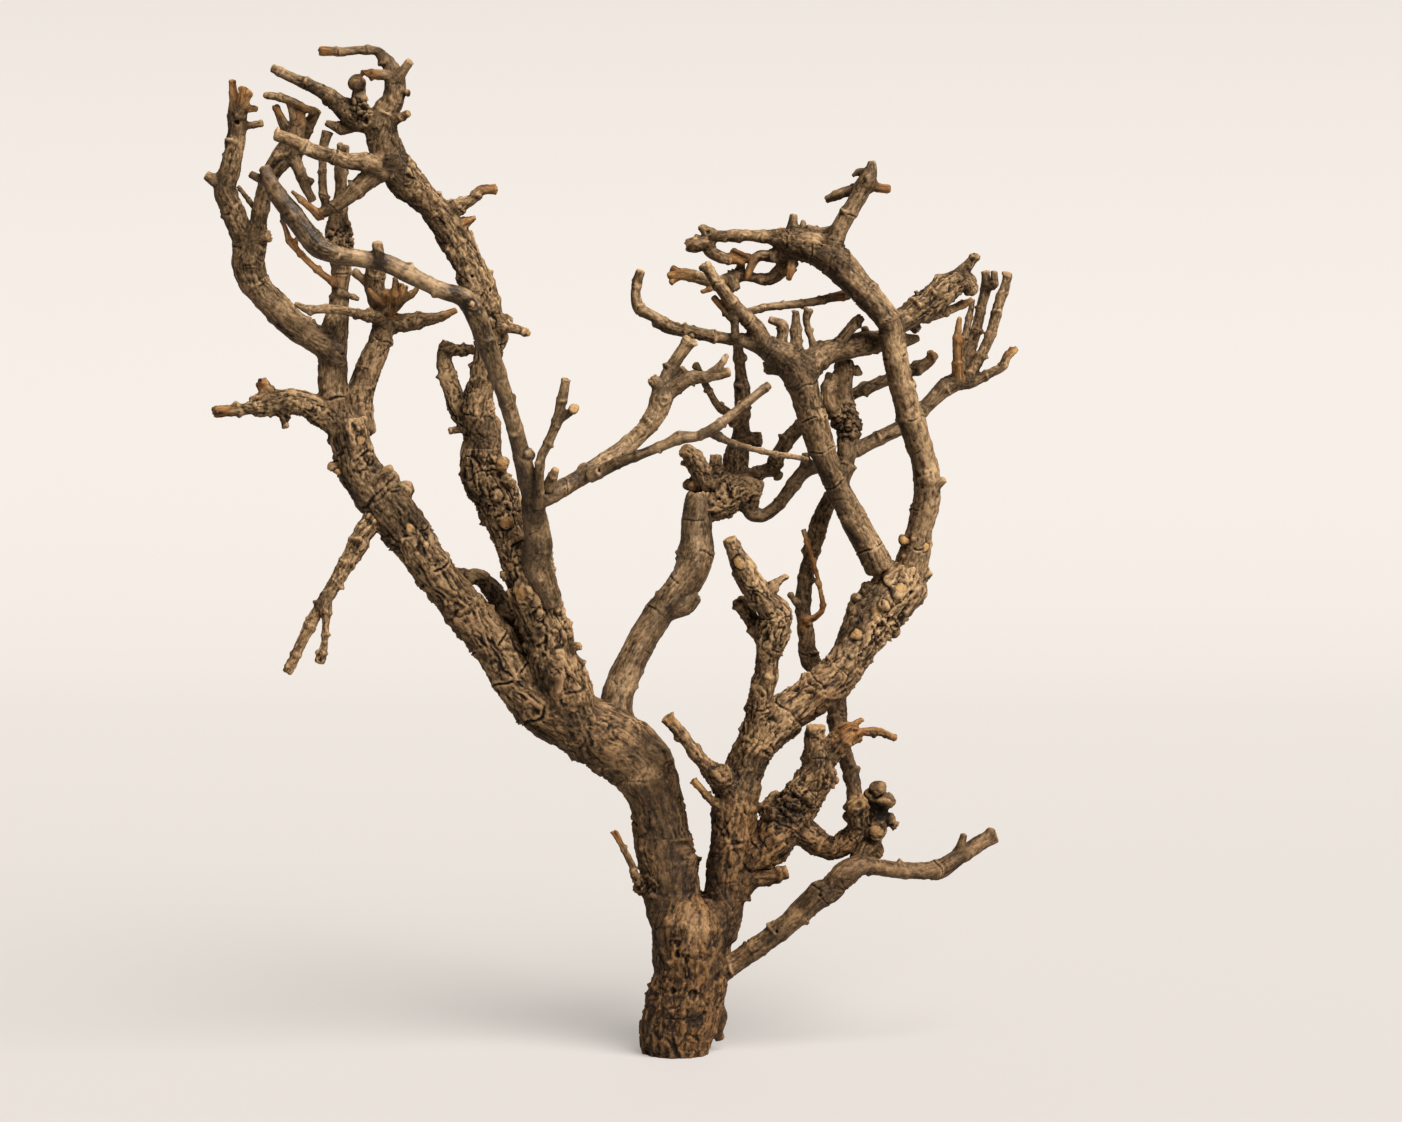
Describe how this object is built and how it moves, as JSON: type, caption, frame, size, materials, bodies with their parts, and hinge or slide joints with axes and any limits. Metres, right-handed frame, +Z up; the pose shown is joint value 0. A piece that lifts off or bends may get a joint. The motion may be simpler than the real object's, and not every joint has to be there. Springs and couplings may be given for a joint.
{
  "type": "driftwood branch",
  "caption": "Weathered branching driftwood that stands upright on a sawn foot, forked into two crowns of bare limbs, curved boughs and broken twigs.",
  "frame": {"origin": "middle of the sawn face of the foot that the piece stands on", "axes": "+Z up out of the foot, +X to the viewer's right, +Y away from the viewer"},
  "size_m": [0.2636, 0.1302, 0.322],
  "materials": {
    "bark": "dry weathered bark, grey brown, matt",
    "warm_bark": "dry weathered bark, warm brown, matt",
    "pale_bark": "thin smooth bark, pale grey tan, matt",
    "dark_bark": "dry shaded bark, dark brown, matt"
  },
  "bodies": {
    "root": {"trunk": "warm_bark", "stem_left": "warm_bark", "stem_right": "warm_bark", "lower_bough": "bark", "lower_cluster": "bark", "limb_c": "bark", "stub_c1": "bark", "burl_e": "bark", "rear_stem_j": "dark_bark", "limb_left": "bark", "left_fork": "bark", "hanging_twig": "bark", "left_bough": "bark", "bough_a1": "bark", "bough_a2": "bark", "bough_s": "bark", "bough_s1": "bark", "bough_s2": "bark", "limb_b": "bark", "bough_b1": "bark", "bough_z": "bark", "crown_left": "bark", "crown_arm": "bark", "crown_low": "bark", "front_bough": "pale_bark", "inner_bough": "pale_bark", "straight_twig": "pale_bark", "pale_twig": "pale_bark", "limb_m": "bark", "knot_m": "bark", "knot_shoot": "dark_bark", "rear_bough": "dark_bark", "reach_bough": "bark", "fan": "bark", "bough_c2": "bark", "curl_bough": "bark", "fork_shoot": "bark", "bough_c2_right": "bark", "bough_c2_back": "bark", "bough_c3": "bark", "upright_c4": "bark", "crown_right": "bark", "crown_low_arm": "bark", "side_bough_c5": "bark"}
  },
  "joints": []
}
